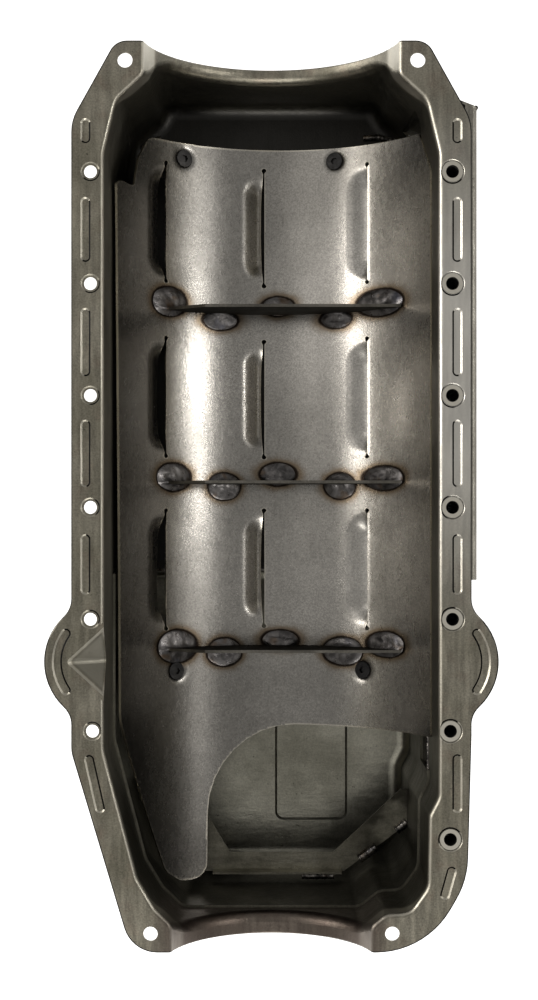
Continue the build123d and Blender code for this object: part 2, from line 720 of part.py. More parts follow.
with BuildPart() as drain_bung:
    with BuildSketch(along_drain(rear_wall_y + sheet + bung_length)):
        Circle(bung_r)
    extrude(amount=bung_length)
    with BuildSketch(along_drain(rear_wall_y + sheet)):
        Circle(spigot_r)
    extrude(amount=sheet + spigot_proud)
    with BuildSketch(along_drain(outer_face_y)):
        Circle(plug_r + fit_gap)
    extrude(amount=-2 * bung_length, mode=Mode.SUBTRACT)
save(drain_bung, "drain_bung")

with BuildPart() as drain_washer:
    with BuildSketch(along_drain(outer_face_y)):
        Circle(washer_r)
        Circle(plug_r + fit_gap, mode=Mode.SUBTRACT)
    extrude(amount=washer_sheet)
save(drain_washer, "drain_washer")

with BuildPart() as drain_plug:
    with BuildSketch(along_drain(outer_face_y - washer_sheet)):
        RegularPolygon(plug_flats / 2, 6, major_radius=False)
    extrude(amount=plug_head)
    chamfer(drain_plug.faces().sort_by(Axis.Y)[0].edges(), 1)
    with BuildSketch(along_drain(outer_face_y - washer_sheet)):
        Circle(plug_r)
    extrude(amount=-plug_length)
save(drain_plug, "drain_plug")
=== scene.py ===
"""Looks of the engine oil pan: worn bare steel with painted highlights and shade, welds, and a
straight-down studio view.
"""
from math import acos, asin, ceil, cos, exp, hypot, pi, radians, sin, sqrt, tan

import bpy
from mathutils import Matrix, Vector, noise
from mathutils.geometry import delaunay_2d_cdt


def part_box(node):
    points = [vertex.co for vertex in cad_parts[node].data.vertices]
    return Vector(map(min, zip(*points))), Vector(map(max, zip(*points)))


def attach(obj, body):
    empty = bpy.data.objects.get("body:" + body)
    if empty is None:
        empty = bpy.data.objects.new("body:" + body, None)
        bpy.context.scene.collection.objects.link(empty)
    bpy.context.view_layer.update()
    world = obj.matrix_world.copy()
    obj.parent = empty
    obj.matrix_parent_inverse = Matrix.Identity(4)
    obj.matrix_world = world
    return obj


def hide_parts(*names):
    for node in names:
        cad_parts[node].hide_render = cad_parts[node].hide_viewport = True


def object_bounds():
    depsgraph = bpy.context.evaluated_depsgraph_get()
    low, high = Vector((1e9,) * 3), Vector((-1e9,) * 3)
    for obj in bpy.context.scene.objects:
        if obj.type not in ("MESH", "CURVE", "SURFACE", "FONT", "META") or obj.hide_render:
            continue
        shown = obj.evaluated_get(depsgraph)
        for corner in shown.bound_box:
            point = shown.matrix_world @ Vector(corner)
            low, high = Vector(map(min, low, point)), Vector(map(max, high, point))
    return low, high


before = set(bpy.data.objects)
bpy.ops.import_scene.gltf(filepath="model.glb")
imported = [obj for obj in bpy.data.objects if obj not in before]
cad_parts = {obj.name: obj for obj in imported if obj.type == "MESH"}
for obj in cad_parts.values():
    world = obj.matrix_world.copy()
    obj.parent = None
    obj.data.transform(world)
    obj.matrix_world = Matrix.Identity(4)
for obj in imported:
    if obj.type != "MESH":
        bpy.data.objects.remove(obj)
cad_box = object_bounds()
mm = 0.001

# Measures of the model, in millimetres
tray_r = 105.0
tray_sheet = 1.5
wall_x = 96.8
sump_front_y = -105.0
shell_skirt_z = -62.0
front_floor_z = -118.0
dish_top_z = -175.0
shelf_z = -125.0

# Corners of the kickout that its welds follow, within 2 mm of its outer faces
kick_front_x, kick_front_y = 118.5, 167.0
kick_rear_x, kick_rear_y = 112.0, -267.6
kick_wall_depth, kick_floor_depth = 62.0, 98.0

# Louvres of the windage tray, as places round the crank axis in degrees and along Y
louvre_rows = [115.5, 5.3, -103.3]
louvre_angles = [-39.0, -2.5, 35.2]
lip_back = [3.6, 1.4, 0.4]   # how far the pressed lip bows back from the slit, one for each column
louvre_half_length = 37.0
louvre_width = 15.5
louvre_depth = 5.0
relief_r = 1.6
lip_rise, lip_width = 0.25, 1.2   # turned-up edge of the sheet to the right of a slit
sheet_warp = 0.22                 # unevenness of the rolled sheet

# Weld puddles: height of the dome, climb up the plate, and depth of the rim in the tray
puddle_height, puddle_climb, puddle_sink = 1.3, 2.4, 0.15

# Screws that hold the tray, (x, y), and the countersunk seat of each
screw_places = [(-54.8, 157.2), (40.2, 157.2), (-59.6, -167.6), (57.7, -167.1)]
screw_r, seat_r, seat_depth = 3.1, 5.9, 2.8

# Tray outline in plan: (x, y, corner radius)
tray_corners = [
    (-76, 167, 6), (90.1, 164.2, 1.5), (96.1, 139.5, 20), (96.1, -203.6, 2), (-40, -203.6, 56),
    (-41, -300.7, 10), (-57, -300.7, 7), (-66.5, -293, 10), (-91.6, -195, 30), (-93.6, 136, 3),
    (-84.5, 133.6, 2), (-82, 152, 12),
]

# Each cross plate's y and its welds: (x, half width in plan, reach to the front, reach to the rear)
plate_welds = {
    "front": (60.7, [(-64.4, 10.2, 14, 4.3), (-32.8, 10.9, 1.5, 11.1), (4.4, 10.2, 10.8, 1.5),
                     (41.6, 9.7, 1.5, 10.3), (68.8, 13.4, 12.2, 4.8)]),
    "middle": (-48.5, [(-61.8, 10.1, 12.3, 5.4), (-30.2, 10.2, 6.4, 10.9), (4.4, 11.6, 13, 1.5),
                       (44, 9.6, 6.3, 10.3), (70.6, 11.6, 10.2, 4.8)]),
    "rear": (-153.5, [(-59.6, 11.7, 11.8, 9), (-30.2, 10.9, 5.6, 12.3), (5.7, 11.6, 10.4, 1.5),
                      (45.8, 12.1, 6.6, 11.3), (71.9, 10.9, 11.3, 4.4)]),
}

# Inner plan line of the sump's wall: (x, y, corner radius), from the front on the left, round the back
sump_line = [
    (-wall_x, sump_front_y, 0), (-wall_x, -205, 20), (-77.5, -279, 14), (-67, -296.5, 10),
    (-54, -309, 9), (54, -309, 9), (66, -299.5, 8), (80, -298.6, 10), (90.5, -284, 12),
    (91.2, -243, 6), (wall_x, -232, 10), (wall_x, sump_front_y, 0),
]


# Node graphs

class Graph:
    """Short calls for building one material's node tree."""

    def __init__(self, name):
        self.material = bpy.data.materials.new(name)
        self.material.use_nodes = True
        self.tree = self.material.node_tree
        self.tree.nodes.clear()
        self.out = self.tree.nodes.new("ShaderNodeOutputMaterial")

    def node(self, kind, inputs=None, **props):
        made = self.tree.nodes.new("ShaderNode" + kind)
        for key, value in props.items():
            setattr(made, key, value)
        for key, value in (inputs or {}).items():
            self.feed(made.inputs[key], value)
        return made

    def feed(self, socket, value):
        if isinstance(value, bpy.types.NodeSocket):
            self.tree.links.new(value, socket)
        elif socket.type == "RGBA" and len(value) == 3:
            socket.default_value = (*value, 1.0)
        else:
            socket.default_value = value

    def math(self, operation, a, b=0.0, c=0.0):
        return self.node("Math", {0: a, 1: b, 2: c}, operation=operation).outputs[0]

    def times(self, a, b):
        return self.math("MULTIPLY", a, b)

    def away(self, value, middle):
        """Distance of a value from a middle one."""
        return self.math("ABSOLUTE", self.math("ADD", value, -middle))

    def outward(self, middle_y):
        """Positive where a surface faces away from a point on the Y axis, negative towards it."""
        x, y = self.axes()[:2]
        facing = self.axes("Normal")
        from_middle = self.math("ADD", y, -middle_y)
        return self.math("MULTIPLY_ADD", facing[0], x, self.times(facing[1], from_middle))

    def ramp(self, value, low, high, to_low=0.0, to_high=1.0):
        made = self.node("MapRange", {"Value": value, "From Min": low, "From Max": high,
                                      "To Min": to_low, "To Max": to_high},
                         interpolation_type="SMOOTHSTEP")
        return made.outputs["Result"]

    def mix(self, factor, a, b, blend="MIX"):
        made = self.node("Mix", {"Factor": factor, 6: a, 7: b}, data_type="RGBA", blend_type=blend)
        return made.outputs[2]

    def shade(self, colour, amount):
        """Colour multiplied by a grey amount."""
        grey = self.node("CombineColor", {0: amount, 1: amount, 2: amount}).outputs[0]
        return self.mix(1.0, colour, grey, "MULTIPLY")

    def noise(self, vector, scale, detail=4.0, rough=0.55, distortion=0.0):
        made = self.node("TexNoise", {"Vector": vector, "Scale": scale, "Detail": detail,
                                      "Roughness": rough, "Distortion": distortion})
        return made.outputs["Fac"]

    def place(self, stretch=(1, 1, 1)):
        where = self.node("NewGeometry").outputs["Position"]
        return self.node("Mapping", {"Vector": where, "Scale": stretch}).outputs["Vector"]

    def axes(self, output="Position"):
        """X, Y and Z of the position or of the surface's direction."""
        return self.node("SeparateXYZ", {"Vector": self.node("NewGeometry").outputs[output]}).outputs

    def finish(self, shader):
        self.tree.links.new(shader, self.out.inputs["Surface"])
        return self.material


# Near black for painted shade and a painted dark reflection.
painted_black = (0.006, 0.006, 0.006)


def steel(name, dark, light, rough, grain, patch_scale, streak, streak_amount, bump,
          metallic=1.0, tint=None, extra=None, pitting=0.55):
    """Bare steel: patches, fine grain, streaks along the rolling direction, small pits."""
    g = Graph(name)
    where = g.place()
    patches = g.noise(where, patch_scale, 5.0, 0.6)
    fine = g.noise(where, 900.0, 3.0, 0.7)
    lines = g.noise(g.place(streak), 260.0, 4.0, 0.65)
    cloud = g.noise(where, patch_scale * 4.3, 4.0, 0.6)
    colour = g.mix(g.ramp(patches, 0.32, 0.68), dark, light)
    if tint:
        colour = g.mix(g.ramp(cloud, 0.50, 0.72, 0.0, 0.6), colour, tint)
    colour = g.shade(colour, g.math("ADD", g.ramp(fine, 0.25, 0.75, 1 - grain, 1 + grain),
                                    g.ramp(lines, 0.3, 0.7, -streak_amount, streak_amount)))
    pits = g.ramp(g.noise(where, 420.0, 2.0, 0.5), 0.70, 0.78)
    colour = g.mix(g.times(pits, pitting), colour, (0.012, 0.010, 0.008))
    roughness = g.math("ADD", g.ramp(patches, 0.3, 0.7, rough[1], rough[0]),
                       g.ramp(lines, 0.3, 0.7, -0.3 * streak_amount, 0.3 * streak_amount))
    if extra:
        colour, roughness = extra(g, where, colour, roughness)
    height = g.math("ADD", g.times(fine, 0.5), g.times(lines, 0.8))
    rough_skin = g.node("Bump", {"Strength": bump, "Distance": 0.0006, "Height": height})
    shader = g.node("BsdfPrincipled", {
        "Base Color": colour, "Roughness": roughness, "Metallic": metallic,
        "Normal": rough_skin.outputs["Normal"]})
    return g.finish(shader.outputs["BSDF"])


def shell_marks(g, where, colour, roughness):
    """Oil and painted shade on the walls below the rail and in the dipstick recess, near black below
    112 mm, painted light on the upper left wall, painted highlights on the bends, beads and right rail,
    painted shade on the rear saddle, and a painted dark reflection round the outer rim.
    """
    x, y, z = g.axes()[:3]
    facing = g.axes("Normal")
    front, rear = g.ramp(y, 0.165, 0.18), g.ramp(y, -0.290, -0.302)
    depth = g.times(z, -1000.0)
    at_ends = g.math("MULTIPLY_ADD", front, 13.0, g.times(rear, 10.0))
    below = g.math("SUBTRACT", depth, at_ends)
    upright = g.ramp(g.math("ABSOLUTE", facing[2]), 0.75, 0.25)
    deep = g.ramp(depth, 60, 110)
    recess = g.times(g.ramp(g.away(y, -0.154), 0.024, 0.019), g.ramp(x, -0.097, -0.0985))
    # Painted highlight: sloped faces near the rail top, the bead sides and inner bends, are lightened,
    # except inside the dipstick recess.
    painted_bend_highlight = g.times(g.ramp(facing[2], 0.985, 0.80), g.ramp(below, 6.0, 2.5))
    sheltered = g.times(recess, g.ramp(depth, 0.9, 1.8))
    painted_bend_highlight = g.times(painted_bend_highlight, g.math("SUBTRACT", 1.0, sheltered))
    colour = g.mix(g.times(painted_bend_highlight, 0.6), colour, (0.60, 0.57, 0.49))
    # Oil stain and painted shade: walls and deep faces below the rail, and the dipstick recess, are
    # darkened.
    oil_and_painted_shade = g.times(g.ramp(below, 1.5, 9.0), g.math("MAXIMUM", upright, deep))
    oil_and_painted_shade = g.math("MAXIMUM", oil_and_painted_shade, g.times(recess, g.ramp(depth, 1.2, 3.2)))
    colour = g.mix(g.times(oil_and_painted_shade, 0.80), colour, (0.062, 0.058, 0.044))
    lit_wall = g.times(g.ramp(x, -0.085, -0.092), g.times(g.ramp(depth, 62, 30), oil_and_painted_shade))
    colour = g.mix(g.times(lit_wall, 0.8), colour, (0.30, 0.285, 0.24))
    # Oil and painted shade, darker still on inner faces towards the rear.
    black = g.times(g.ramp(y, -0.20, -0.26), oil_and_painted_shade)
    black = g.times(g.ramp(g.outward(-0.15), 0.0, -0.02), black)
    colour = g.mix(g.times(black, 0.50), colour, (0.018, 0.016, 0.011))
    colour = g.mix(g.times(g.ramp(depth, 112, 117), 0.8), colour, (0.022, 0.022, 0.024))
    # Painted highlight: lamp glare on the right rail, put into the colour.
    painted_rail_glare = g.times(g.ramp(x, 0.04, 0.09), g.ramp(g.away(y, 0.02), 0.17, 0.03))
    painted_rail_glare = g.times(painted_rail_glare, g.ramp(depth, 9.0, 1.5))
    colour = g.mix(g.times(painted_rail_glare, 0.75), colour, (0.66, 0.64, 0.60))
    # Painted shade on the rear saddle's faces that turn to the rear.
    rear_saddle_shade = g.times(rear, g.ramp(g.math("ABSOLUTE", x), 0.076, 0.055))
    rear_saddle_shade = g.times(rear_saddle_shade, g.times(g.ramp(depth, 62.0, 50.0),
                                               g.ramp(facing[1], -0.85, -0.5)))
    colour = g.mix(g.times(rear_saddle_shade, 0.75), colour, (0.085, 0.062, 0.055))
    # Painted dark reflection: outward-turned faces at the rail's top edge are made near black.
    edge = g.times(g.ramp(g.outward(-0.058), 0.008, 0.030), g.ramp(depth, 2.4, 1.7))
    return g.mix(edge, colour, painted_black), roughness


def sump_marks(g, where, colour, roughness):
    """Oil and painted shade, in patches, over the inside of the sump's wall."""
    patchy = g.ramp(g.noise(where, 26.0, 4.0), 0.70, 0.45, 0.4, 0.85)
    # Oil stain and painted shade on the faces of the wall that turn inwards.
    oil_and_painted_shade = g.times(g.ramp(g.outward(-0.2), -0.01, -0.04), patchy)
    return g.mix(oil_and_painted_shade, colour, (0.030, 0.028, 0.022)), roughness


def floor_marks(g, where, colour, roughness):
    """Painted highlights on the sloped bends of the pressed floor, painted shade towards the rear under
    the shelf and on the outside faces.
    """
    up = g.axes("Normal")[2]
    x, y = g.axes()[:2]
    # Painted highlight on sloped faces.
    colour = g.mix(g.ramp(up, 0.985, 0.85, 0.0, 0.6), colour, (0.80, 0.77, 0.66))
    # Painted shade towards the rear and the right, where the floor runs under the shelf.
    to_right = g.math("MAXIMUM", g.math("SUBTRACT", x, 0.02), 0.0)
    back = g.math("SUBTRACT", g.times(to_right, 0.55), y)
    back = g.math("MULTIPLY_ADD", g.math("SUBTRACT", g.noise(where, 40.0, 3.0), 0.5), 0.03, back)
    colour = g.shade(colour, g.ramp(back, 0.273, 0.313, 1.0, 0.24))
    # Painted shade on faces turned away from up.
    return g.shade(colour, g.ramp(up, -0.3, 0.4, 0.40, 1.0)), roughness


def shelf_marks(g, where, colour, roughness):
    """Darker patches on the shelf's right-hand wing."""
    patchy = g.ramp(g.noise(where, 38.0, 3.0), 0.62, 0.40)
    dark_wing_patches = g.times(g.ramp(g.axes()[0], 0.048, 0.066), patchy)
    return g.mix(g.times(dark_wing_patches, 0.85), colour, (0.022, 0.020, 0.015)), roughness


def tube_marks(g, where, colour, roughness):
    """Bright end of a bolt tube, flush in the rail."""
    end = g.times(g.ramp(g.axes("Normal")[2], 0.5, 0.9), g.ramp(g.axes()[2], -0.004, -0.002))
    return g.mix(end, colour, (0.40, 0.38, 0.33)), g.math("MULTIPLY_ADD", end, -0.4, roughness)


def kick_marks(g, where, colour, roughness):
    """Painted shade, near black, at the bottom of the bolt tubes."""
    x = g.axes()[0]
    # Painted shade on up-facing kickout faces between the wall and the kickout's outer side.
    tube_bottom_shade = g.times(g.ramp(x, 0.096, 0.100), g.ramp(x, 0.1115, 0.109))
    tube_bottom_shade = g.times(tube_bottom_shade, g.ramp(g.axes("Normal")[2], 0.2, 0.6))
    return g.mix(tube_bottom_shade, colour, painted_black), roughness


def tray_marks(g, where, colour, roughness):
    """Heat colours round the welds; painted highlights along the cut edges and on the right of the
    tray, painted shade on its left and towards the rear.
    """
    heat = g.node("Attribute", attribute_name="weld_heat").outputs["Fac"]
    wave = g.times(g.math("SUBTRACT", g.noise(where, 160.0, 3.0), 0.5), 0.35)
    heat = g.math("ADD", heat, g.times(wave, g.ramp(heat, 0.02, 0.2)))
    colour = g.mix(g.ramp(heat, 0.05, 0.55, 0.0, 0.75), colour, (0.155, 0.105, 0.055))
    colour = g.mix(g.ramp(heat, 0.55, 0.85), colour, (0.018, 0.013, 0.010))
    x, y = g.axes()[:2]
    # Painted shade towards the rear of the tray.
    colour = g.shade(colour, g.ramp(y, -0.145, -0.175, 1.0, 0.74))
    # Painted highlight on the right of the tray and painted shade on its left.
    painted_sheen = g.math("ADD", g.ramp(x, 0.035, 0.085, 1.0, 2.1), g.ramp(x, -0.03, 0.0, -0.22, 0.0))
    colour = g.shade(colour, painted_sheen)
    # Painted highlight along the cut edges of the sheet.
    edge = g.node("Attribute", attribute_name="cut_edge").outputs["Fac"]
    colour = g.mix(g.ramp(edge, 0.35, 0.95, 0.0, 0.8), colour, (0.62, 0.58, 0.50))
    return colour, roughness


def plate_marks(g, where, colour, roughness):
    """Painted shade on a plate's upright faces, which are also rougher; its top edges keep the plain
    steel colour.
    """
    # Painted shade: the upright faces are made near black.
    upright = g.ramp(g.math("ABSOLUTE", g.axes("Normal")[1]), 0.5, 0.8)
    roughness = g.math("MULTIPLY_ADD", upright, 0.45, roughness)
    return g.mix(upright, colour, (0.012, 0.011, 0.009)), roughness


rail_steel = steel("worn_pan_steel_painted_light", (0.150, 0.140, 0.108), (0.29, 0.27, 0.22), (0.34, 0.48), 0.22,
                   16.0, (1, 0.12, 1), 0.16, 0.35, tint=(0.20, 0.165, 0.13), extra=shell_marks)
sump_steel = steel("oil_and_painted_shade_sump_steel", (0.11, 0.105, 0.083), (0.19, 0.18, 0.147), (0.34, 0.5), 0.2,
                   14.0, (1, 0.2, 1), 0.15, 0.3, extra=sump_marks)
floor_steel = steel("pressed_floor_steel", (0.40, 0.385, 0.315), (0.60, 0.58, 0.49), (0.30, 0.46), 0.2,
                    12.0, (0.3, 1, 1), 0.12, 0.3, extra=floor_marks)
kick_steel = steel("kickout_steel", (0.19, 0.18, 0.155), (0.29, 0.275, 0.24), (0.34, 0.48), 0.2,
                   18.0, (1, 0.12, 1), 0.15, 0.3, extra=kick_marks)
baffle_steel = steel("baffle_steel", (0.17, 0.160, 0.125), (0.34, 0.322, 0.262), (0.3, 0.46), 0.2,
                     24.0, (0.2, 1, 1), 0.15, 0.3, extra=shelf_marks)
tray_steel = steel("rolled_tray_steel", (0.29, 0.277, 0.256), (0.41, 0.392, 0.364), (0.25, 0.29), 0.28,
                   12.0, (1, 0.5, 1), 0.05, 0.12, extra=tray_marks, pitting=0.12)
plate_steel = steel("plate_steel", (0.08, 0.075, 0.065), (0.22, 0.205, 0.18), (0.3, 0.42), 0.2,
                    20.0, (0.2, 1, 1), 0.12, 0.25, extra=plate_marks)
tube_steel = steel("tube_steel", (0.016, 0.015, 0.013), (0.04, 0.038, 0.034), (0.8, 0.9), 0.15,
                   30.0, (1, 1, 0.1), 0.15, 0.2, metallic=0.4, extra=tube_marks)
turned_steel = steel("turned_steel", (0.26, 0.25, 0.24), (0.42, 0.41, 0.39), (0.25, 0.38), 0.12,
                     40.0, (1, 1, 6.0), 0.2, 0.2)
black_oxide = steel("black_oxide_screw", (0.016, 0.016, 0.017), (0.055, 0.053, 0.052), (0.30, 0.42),
                    0.2, 60.0, (1, 1, 1), 0.1, 0.15, metallic=0.9)
zinc_plate = steel("zinc_plug", (0.42, 0.40, 0.35), (0.62, 0.60, 0.54), (0.26, 0.4), 0.12,
                   50.0, (1, 1, 1), 0.1, 0.15, tint=(0.5, 0.47, 0.3))
copper = steel("copper_washer", (0.42, 0.20, 0.12), (0.62, 0.33, 0.21), (0.3, 0.45), 0.15,
               60.0, (1, 1, 1), 0.1, 0.15)


def weld_steel(name, dark, light, rough):
    """Weld metal: dark slag and glass-smooth ripples, with brown and blue heat colours."""
    g = Graph(name)
    where = g.place()
    patches = g.noise(where, 150.0, 4.0, 0.6, 0.6)
    colour = g.mix(g.ramp(patches, 0.35, 0.62), dark, light)
    colour = g.mix(g.ramp(g.noise(where, 90.0, 2.0), 0.55, 0.7, 0.0, 0.5), colour, (0.11, 0.065, 0.03))
    colour = g.mix(g.ramp(g.noise(where, 70.0, 2.0), 0.6, 0.75, 0.0, 0.4), colour, (0.05, 0.06, 0.10))
    roughness = g.ramp(g.noise(where, 260.0, 3.0), 0.3, 0.7, rough[0], rough[1])
    skin = g.node("Bump", {"Strength": 0.35, "Distance": 0.0005,
                           "Height": g.noise(where, 700.0, 3.0, 0.6)})
    shader = g.node("BsdfPrincipled", {"Base Color": colour, "Roughness": roughness,
                                       "Metallic": 0.9, "Normal": skin.outputs["Normal"]})
    return g.finish(shader.outputs["BSDF"])


puddle_metal = weld_steel("weld_puddles", (0.070, 0.066, 0.066), (0.16, 0.152, 0.15), (0.26, 0.46))
bead_metal = weld_steel("weld_beads", (0.03, 0.028, 0.026), (0.28, 0.26, 0.24), (0.14, 0.38))

node_looks = {
    "pan_shell": rail_steel, "sump_wrap": sump_steel, "sump_floor": floor_steel,
    "kickout_panel_front": kick_steel, "kickout_panel_rear": kick_steel,
    "kickout_step": kick_steel, "kickout_cap_front": kick_steel, "kickout_cap_rear": kick_steel,
    "sump_shelf": baffle_steel, "post_bracket_left": baffle_steel, "post_bracket_right": baffle_steel,
    "windage_tray": tray_steel, "drain_bung": turned_steel, "drain_plug": zinc_plate,
    "drain_washer": copper,
}
group_looks = {"bolt_tube": tube_steel, "tray_plate": plate_steel, "tray_screw": black_oxide,
               "tray_post": turned_steel}
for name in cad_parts:
    for start, look in group_looks.items():
        if name.startswith(start):
            node_looks[name] = look

for name, look in node_looks.items():
    piece = bpy.data.objects[name]
    if not piece.material_slots:
        piece.data.materials.append(look)
    for place in piece.material_slots:
        place.material = look


def mesh_piece(name, verts, faces, look, slot):
    """New mesh object from points in millimetres, riding on the pan."""
    mesh = bpy.data.meshes.new(name)
    mesh.from_pydata([tuple(c * mm for c in v) for v in verts], [], faces)
    mesh.materials.append(look)
    for polygon in mesh.polygons:
        polygon.use_smooth = True
    piece = bpy.data.objects.new(name, mesh)
    bpy.context.collection.objects.link(piece)
    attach(piece, "root")
    return piece


def rounded_line(corners, closed=True, turn_step=12.0):
    """Points along (x, y, radius) corners, with an arc at each."""
    points = []
    count = len(corners)
    for i, (x, y, radius) in enumerate(corners):
        here = Vector((x, y))
        if radius == 0 or (not closed and i in (0, count - 1)):
            points.append((x, y))
            continue
        back = (Vector(corners[i - 1][:2]) - here).normalized()
        ahead = (Vector(corners[(i + 1) % count][:2]) - here).normalized()
        between = acos(max(-1.0, min(1.0, back.dot(ahead))))
        centre = here + (back + ahead).normalized() * (radius / sin(between / 2))
        start = here + back * (radius / tan(between / 2)) - centre
        swing = pi - between
        side = 1 if back.x * ahead.y - back.y * ahead.x < 0 else -1
        steps = max(2, ceil(swing / radians(turn_step)))
        for k in range(steps + 1):
            turn = side * swing * k / steps
            points.append((centre.x + start.x * cos(turn) - start.y * sin(turn),
                           centre.y + start.x * sin(turn) + start.y * cos(turn)))
    return points


# Windage tray: one sheet with slits, laid out flat as (arc length, y) and wrapped round the crank axis

def arc_place(x):
    """Arc length along the tray from straight down, for a place in plan."""
    return tray_r * asin(max(-1.0, min(1.0, x / tray_r)))


def split_runs(loop, step):
    """Closed loop with its long runs divided."""
    out = []
    for i, a in enumerate(loop):
        b = loop[(i + 1) % len(loop)]
        parts = max(1, ceil(hypot(b[0] - a[0], b[1] - a[1]) / step))
        out += [(a[0] + (b[0] - a[0]) * k / parts, a[1] + (b[1] - a[1]) * k / parts)
                for k in range(parts)]
    return out


def ring(centre, radius, count=14):
    return [(centre[0] + radius * cos(2 * pi * k / count), centre[1] + radius * sin(2 * pi * k / count))
            for k in range(count)]


def slit_loop(u, y, bow):
    """Outline of one slit: straight on the right, bowed back on the left, round at both ends."""
    half = louvre_half_length
    points = []
    for end in (1, -1):
        points += [(u + relief_r * cos(pi * k / 6), y + end * (half + relief_r * sin(pi * k / 6)))
                   for k in (range(7) if end > 0 else range(6, -1, -1))]
        if end > 0:
            points += [(u - 0.35 - bow * (1 - (v / half) ** 2) ** 0.8, y + v)
                       for v in [half * (0.94 - 0.04 * k) for k in range(48)]]
        else:
            points += [(u + 0.3, y - half * (0.96 - 0.06 * k)) for k in range(33)]
    return points


louvres = [(radians(angle) * tray_r, y) for y in louvre_rows for angle in louvre_angles]
slits = [slit_loop(*place, bow) for place, bow in zip(louvres, lip_back * len(louvre_rows))]
seats = [(arc_place(x), y) for x, y in screw_places]
puddles = []   # (plate, arc place, y of the plate, y of the middle, half width, half length)
for name, (plate_y, places) in plate_welds.items():
    for x, half, front, rear in places:
        middle = arc_place(x)
        half_u = (arc_place(x + half) - arc_place(x - half)) / 2
        middle_y = plate_y + (front - rear) / 2
        puddles.append((name, middle, plate_y, middle_y, half_u, (front + rear) / 2))


def pressed(u, y):
    """How far the sheet is pressed away from the crank axis at a place."""
    drop = sheet_warp * noise.noise(Vector((u * 0.016, y * 0.012, 4.0)))
    for u0, y0 in louvres:
        across, along = u0 - u, abs(y - y0)
        if -26 < across < 34 and along < 60:
            q = max(0.0, along - louvre_half_length + louvre_width) / louvre_width
            if 0 <= across:
                rho = (across / louvre_width) ** 2 + q * q
                if rho < 1:
                    drop += louvre_depth * (0.5 + 0.5 * cos(pi * sqrt(rho))) ** 1.1
            drop += 0.35 * exp(-(across / 14) ** 2 - (max(0.0, along - 24) / 11) ** 2)
            if -lip_width < across < 0 and along < louvre_half_length:
                drop -= lip_rise * (1 + across / lip_width) ** 2
    for u0, y0 in seats:
        away = hypot(u - u0, y - y0)
        if away < 9:
            drop += max(0.0, min(1.0, (seat_r - away) / (seat_r - screw_r))) * seat_depth
            drop += 0.3 * exp(-((away - seat_r) / 1.6) ** 2)
    return drop


def heat_at(u, y):
    """Heat colour from 0 to 1 by how near the rim of a weld puddle is."""
    heat = 0.0
    for _, u0, _, y0, half_u, half_y in puddles:
        if abs(u - u0) < half_u + 14 and abs(y - y0) < half_y + 14:
            rho = hypot((u - u0) / half_u, (y - y0) / half_y)
            away = (rho - 1) * min(half_u, half_y)
            heat = max(heat, exp(-max(0.0, away) / 2.6))
    return heat


def near_detail(u, y):
    """Whether a place is close to a louvre, a screw or a weld, where the mesh is finer."""
    close = any(-3 < u0 - u < louvre_width + 2 and abs(y - y0) < louvre_half_length + 3
                for u0, y0 in louvres)
    return close or any(hypot(u - u0, y - y0) < 10 for u0, y0 in seats) or any(
        hypot((u - u0) / (half_u + 5), (y - y0) / (half_y + 5)) < 1
        for _, u0, _, y0, half_u, half_y in puddles)


def crossings(loop, y):
    """Sorted places where a closed loop crosses a line of constant y."""
    found = []
    for i, (u0, y0) in enumerate(loop):
        u1, y1 = loop[(i + 1) % len(loop)]
        if (y0 > y) != (y1 > y):
            found.append(u0 + (u1 - u0) * (y - y0) / (y1 - y0))
    return sorted(found)


def within(loop, u, y):
    return sum(place < u for place in crossings(loop, y)) % 2 == 1


def build_tray():
    """Flat triangles of the tray: points, faces, and how many of the points lie on a cut edge."""
    fine, rim_step, margin = 1.15, 2.2, 0.7
    outline = split_runs([(arc_place(x), y) for x, y in rounded_line(tray_corners)], rim_step)
    holes = slits + [ring(place, screw_r) for place in seats]
    flat, edges = [], []
    for loop in [outline] + holes:
        first = len(flat)
        flat += loop
        edges += [(first + i, first + (i + 1) % len(loop)) for i in range(len(loop))]
    rim_count = len(flat)
    low_y = min(y for _, y in outline)
    rows = int((max(y for _, y in outline) - low_y) / fine)
    for row in range(1, rows):
        y = low_y + row * fine
        spans = crossings(outline, y)
        hole_spans = [(min(c), max(c)) for c in (crossings(loop, y) for loop in holes) if c]
        shift = (row % 2) * fine / 2 + (row % 4 // 2) * fine
        for left, right in zip(spans[::2], spans[1::2]):
            count = int((right - left) / fine)
            for k in range(count):
                u = left + margin + shift + k * fine
                if u > right - margin or any(a - margin < u < b + margin for a, b in hole_spans):
                    continue
                if near_detail(u, y) or (row % 2 == 0 and k % 2 == 0):
                    flat.append((u, y))
    made = delaunay_2d_cdt([Vector(p) for p in flat], edges, [], 0, 1e-4, False)
    places = [tuple(p) for p in made[0]]
    keep = []
    for face in made[2]:
        if min(face) < rim_count and max(face) < rim_count + 1:
            u = sum(places[i][0] for i in face) / 3
            y = sum(places[i][1] for i in face) / 3
            if not within(outline, u, y) or any(within(loop, u, y) for loop in holes):
                continue
        keep.append(tuple(face))
    return places, keep, rim_count


def wrapped(u, y, r):
    return r * sin(u / tray_r), y, -r * cos(u / tray_r)


